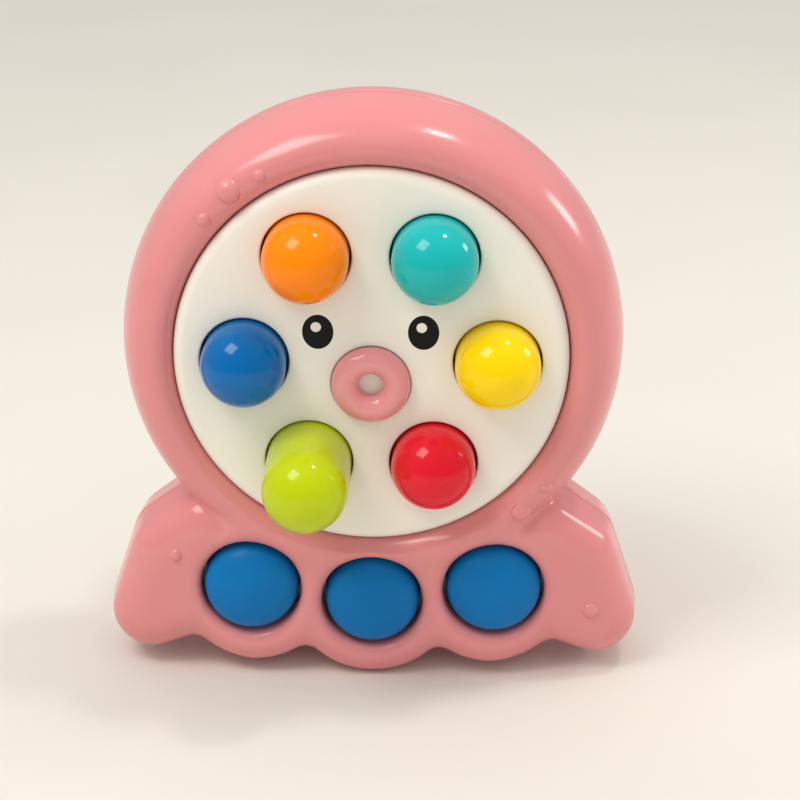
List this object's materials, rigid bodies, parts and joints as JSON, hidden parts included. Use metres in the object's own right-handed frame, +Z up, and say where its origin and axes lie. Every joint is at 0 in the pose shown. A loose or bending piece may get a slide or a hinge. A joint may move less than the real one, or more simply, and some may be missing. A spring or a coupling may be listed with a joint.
{
  "type": "push-peg toy",
  "caption": "Octopus-shaped baby toy: ring-and-skirt casing with a white face plate, sliding push-through pegs and soft pop-through bubbles.",
  "frame": {"origin": "middle of the box at the floor, on the seam between the front and back casing", "axes": "+Z up from the floor to the top of the head ring, front faces -Y, +X to the toy's right in the front view"},
  "size_m": [0.1654, 0.1104, 0.1805],
  "materials": {
    "casing_pink": "semi-gloss moulded",
    "plate_white": "satin moulded",
    "mouth_pink": "gloss",
    "eye_black": "gloss",
    "eye_white": "gloss",
    "bubble_blue": "satin silicone",
    "ring_grey": "satin silicone",
    "screw_steel": "plated",
    "peg_yellow": "gloss",
    "peg_teal": "gloss",
    "peg_orange": "gloss",
    "peg_blue": "gloss",
    "peg_lime": "gloss",
    "peg_red": "gloss"
  },
  "bodies": {
    "casing": {"front_shell": "casing_pink", "back_shell": "casing_pink", "front_face_plate": "plate_white", "back_face_plate": "plate_white", "mouth_ring": "mouth_pink", "eye_inlays": "eye_black", "eye_glints": "eye_white", "bubble_strip": "bubble_blue", "case_screws": "screw_steel"},
    "peg_yellow": {"peg_yellow_front": "peg_yellow", "peg_yellow_back": "peg_yellow", "friction_ring_yellow": "ring_grey"},
    "peg_teal": {"peg_teal_front": "peg_teal", "peg_teal_back": "peg_teal", "friction_ring_teal": "ring_grey"},
    "peg_orange": {"peg_orange_front": "peg_orange", "peg_orange_back": "peg_orange", "friction_ring_orange": "ring_grey"},
    "peg_blue": {"peg_blue_front": "peg_blue", "peg_blue_back": "peg_blue", "friction_ring_blue": "ring_grey"},
    "peg_lime": {"peg_lime_front": "peg_lime", "peg_lime_back": "peg_lime", "friction_ring_lime": "ring_grey"},
    "peg_red": {"peg_red_front": "peg_red", "peg_red_back": "peg_red", "friction_ring_red": "ring_grey"},
    "bubble_left": {"bubble_left": "bubble_blue"},
    "bubble_middle": {"bubble_middle": "bubble_blue"},
    "bubble_right": {"bubble_right": "bubble_blue"}
  },
  "joints": [
    {"name": "peg_yellow_slide", "type": "slide", "parent": "casing", "child": "peg_yellow", "axis": [0, -1, 0], "range_m": [0, 0.017]},
    {"name": "peg_teal_slide", "type": "slide", "parent": "casing", "child": "peg_teal", "axis": [0, -1, 0], "range_m": [0, 0.017]},
    {"name": "peg_orange_slide", "type": "slide", "parent": "casing", "child": "peg_orange", "axis": [0, -1, 0], "range_m": [0, 0.017]},
    {"name": "peg_blue_slide", "type": "slide", "parent": "casing", "child": "peg_blue", "axis": [0, -1, 0], "range_m": [0, 0.017]},
    {"name": "peg_lime_slide", "type": "slide", "parent": "casing", "child": "peg_lime", "axis": [0, -1, 0], "range_m": [-0.017, 0]},
    {"name": "peg_red_slide", "type": "slide", "parent": "casing", "child": "peg_red", "axis": [0, -1, 0], "range_m": [0, 0.017]},
    {"name": "bubble_left_pop", "type": "slide", "parent": "casing", "child": "bubble_left", "axis": [0, 1, 0], "range_m": [0, 0.054]},
    {"name": "bubble_middle_pop", "type": "slide", "parent": "casing", "child": "bubble_middle", "axis": [0, 1, 0], "range_m": [0, 0.054]},
    {"name": "bubble_right_pop", "type": "slide", "parent": "casing", "child": "bubble_right", "axis": [0, 1, 0], "range_m": [0, 0.054]}
  ]
}
